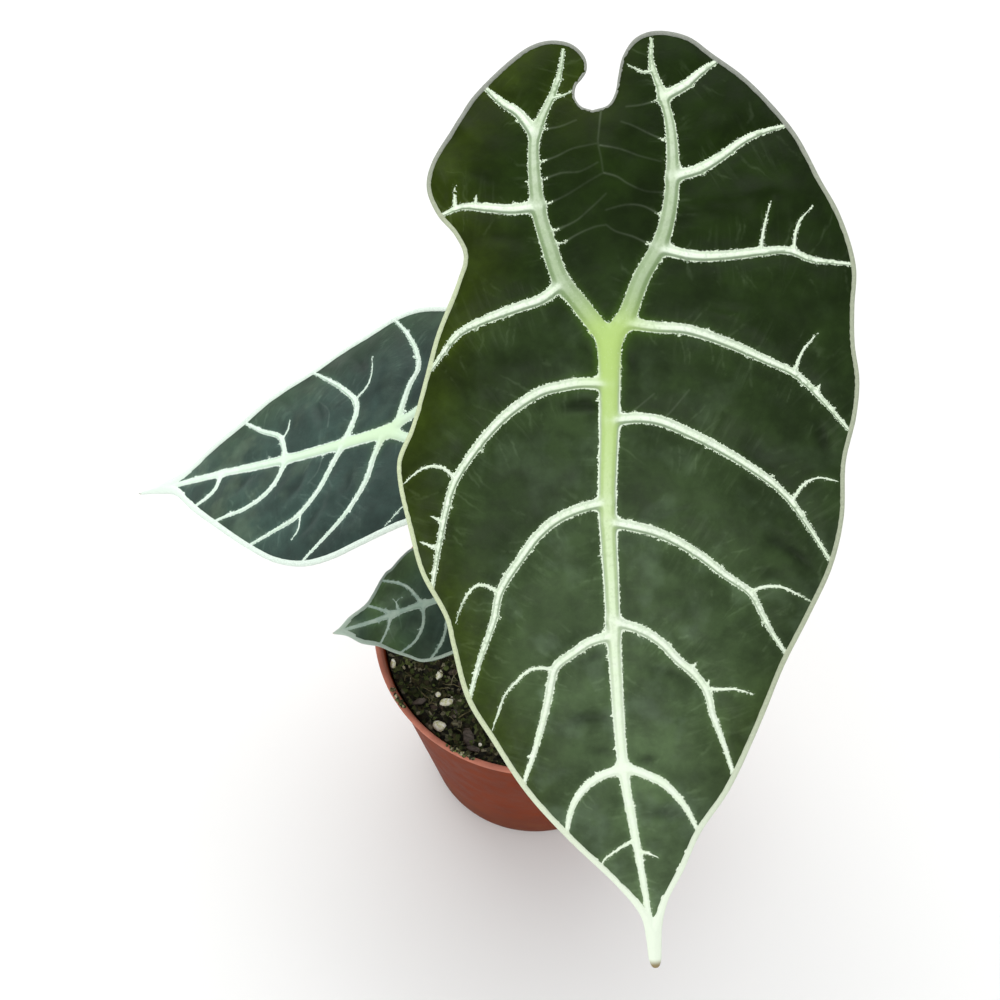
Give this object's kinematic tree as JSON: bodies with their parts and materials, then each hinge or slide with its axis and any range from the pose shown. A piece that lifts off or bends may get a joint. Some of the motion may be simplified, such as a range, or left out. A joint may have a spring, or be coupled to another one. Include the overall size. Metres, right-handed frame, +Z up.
{
  "type": "potted alocasia watsoniana",
  "caption": "Aroid house plant in a plain tapered nursery pot: hanging arrow-shaped leaves with a raised pale rib net on tall petioles, rising from a short crown in potting soil.",
  "frame": {"origin": "centre of the pot's flat underside, where the plant stands", "axes": "+Z up along the pot's axis; +Y away from the viewer of the picture; +X to that viewer's right; the large leaf's tip points towards -Y and the medium leaf's tip towards -X"},
  "size_m": [0.2011, 0.1912, 0.2905],
  "materials": {
    "pot_plastic": "terracotta-brown moulded plastic, satin, lighter on the lip",
    "potting_soil": "dark crumbly mix of bark, fibre and pale perlite grains",
    "crown_stem": "brown stub with dry papery sheaths",
    "petiole": "smooth green stalk with fine brown mottling",
    "blade": "dark green, softly glossy and quilted between the ribs, purple underneath",
    "rib_net": "raised pale green-white ribs and margin, satin"
  },
  "bodies": {
    "root": {"pot": "pot_plastic", "soil": "potting_soil", "crown": "crown_stem", "leaf_large_petiole": "petiole", "leaf_medium_petiole": "petiole", "leaf_small_petiole": "petiole", "leaf_large_blade": "blade", "leaf_medium_blade": "blade", "leaf_small_blade": "blade", "leaf_large_rib_net": "rib_net", "leaf_medium_rib_net": "rib_net", "leaf_small_rib_net": "rib_net"}
  },
  "joints": []
}
